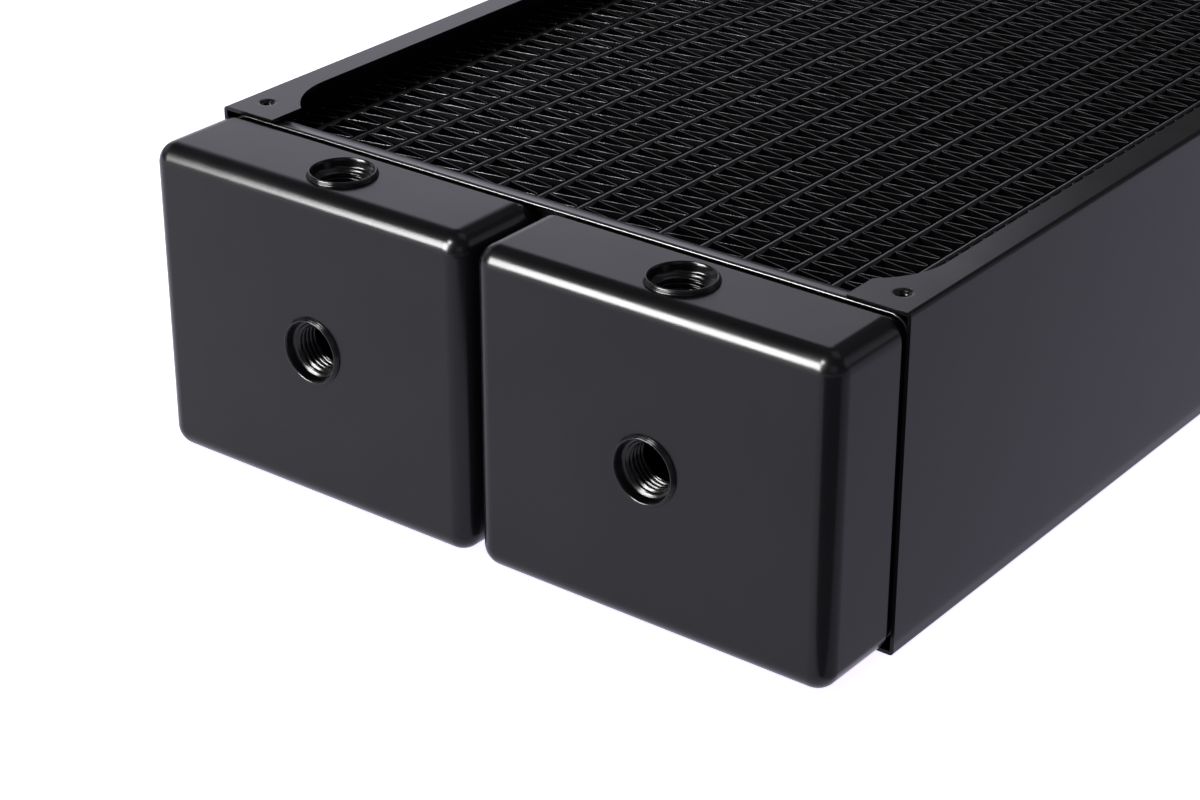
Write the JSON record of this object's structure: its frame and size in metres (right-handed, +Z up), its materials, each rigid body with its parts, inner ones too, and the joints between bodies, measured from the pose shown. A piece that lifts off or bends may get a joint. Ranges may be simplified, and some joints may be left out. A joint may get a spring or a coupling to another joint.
{
  "type": "liquid cooling radiator",
  "caption": "Extra-thick black cooling radiator: finned core between folded side panels, a return tank at one end, split port tanks at the other, threaded ports.",
  "frame": {"origin": "centre of the footprint, on the plane of the lower flanges", "axes": "+Y along the tubes from the port tanks to the return tank, +Z up through the core's depth"},
  "size_m": [0.204, 0.4626, 0.086],
  "materials": {
    "shell_lacquer": "semi-gloss black lacquer",
    "header_lacquer": "semi-gloss black lacquer over solder",
    "core_black": "thin satin black",
    "port_black": "gloss black over turned metal"
  },
  "bodies": {
    "root": {"side_panel_left": "shell_lacquer", "side_panel_right": "shell_lacquer", "tank_inlet": "shell_lacquer", "tank_outlet": "shell_lacquer", "tank_return": "shell_lacquer", "header_plate_front": "header_lacquer", "header_plate_rear": "header_lacquer", "flat_tube_01": "core_black", "flat_tube_02": "core_black", "flat_tube_03": "core_black", "flat_tube_04": "core_black", "flat_tube_05": "core_black", "flat_tube_06": "core_black", "flat_tube_07": "core_black", "flat_tube_08": "core_black", "flat_tube_09": "core_black", "flat_tube_10": "core_black", "flat_tube_11": "core_black", "flat_tube_12": "core_black", "flat_tube_13": "core_black", "flat_tube_14": "core_black", "flat_tube_15": "core_black", "flat_tube_16": "core_black", "fin_strip_01": "core_black", "fin_strip_02": "core_black", "fin_strip_03": "core_black", "fin_strip_04": "core_black", "fin_strip_05": "core_black", "fin_strip_06": "core_black", "fin_strip_07": "core_black", "fin_strip_08": "core_black", "fin_strip_09": "core_black", "fin_strip_10": "core_black", "fin_strip_11": "core_black", "fin_strip_12": "core_black", "fin_strip_13": "core_black", "fin_strip_14": "core_black", "fin_strip_15": "core_black", "fin_strip_16": "core_black", "fin_strip_17": "core_black", "port_inlet_front": "port_black", "port_inlet_top": "port_black", "port_inlet_bottom": "port_black", "port_outlet_front": "port_black", "port_outlet_top": "port_black", "port_outlet_bottom": "port_black", "port_return_end": "port_black"}
  },
  "joints": []
}
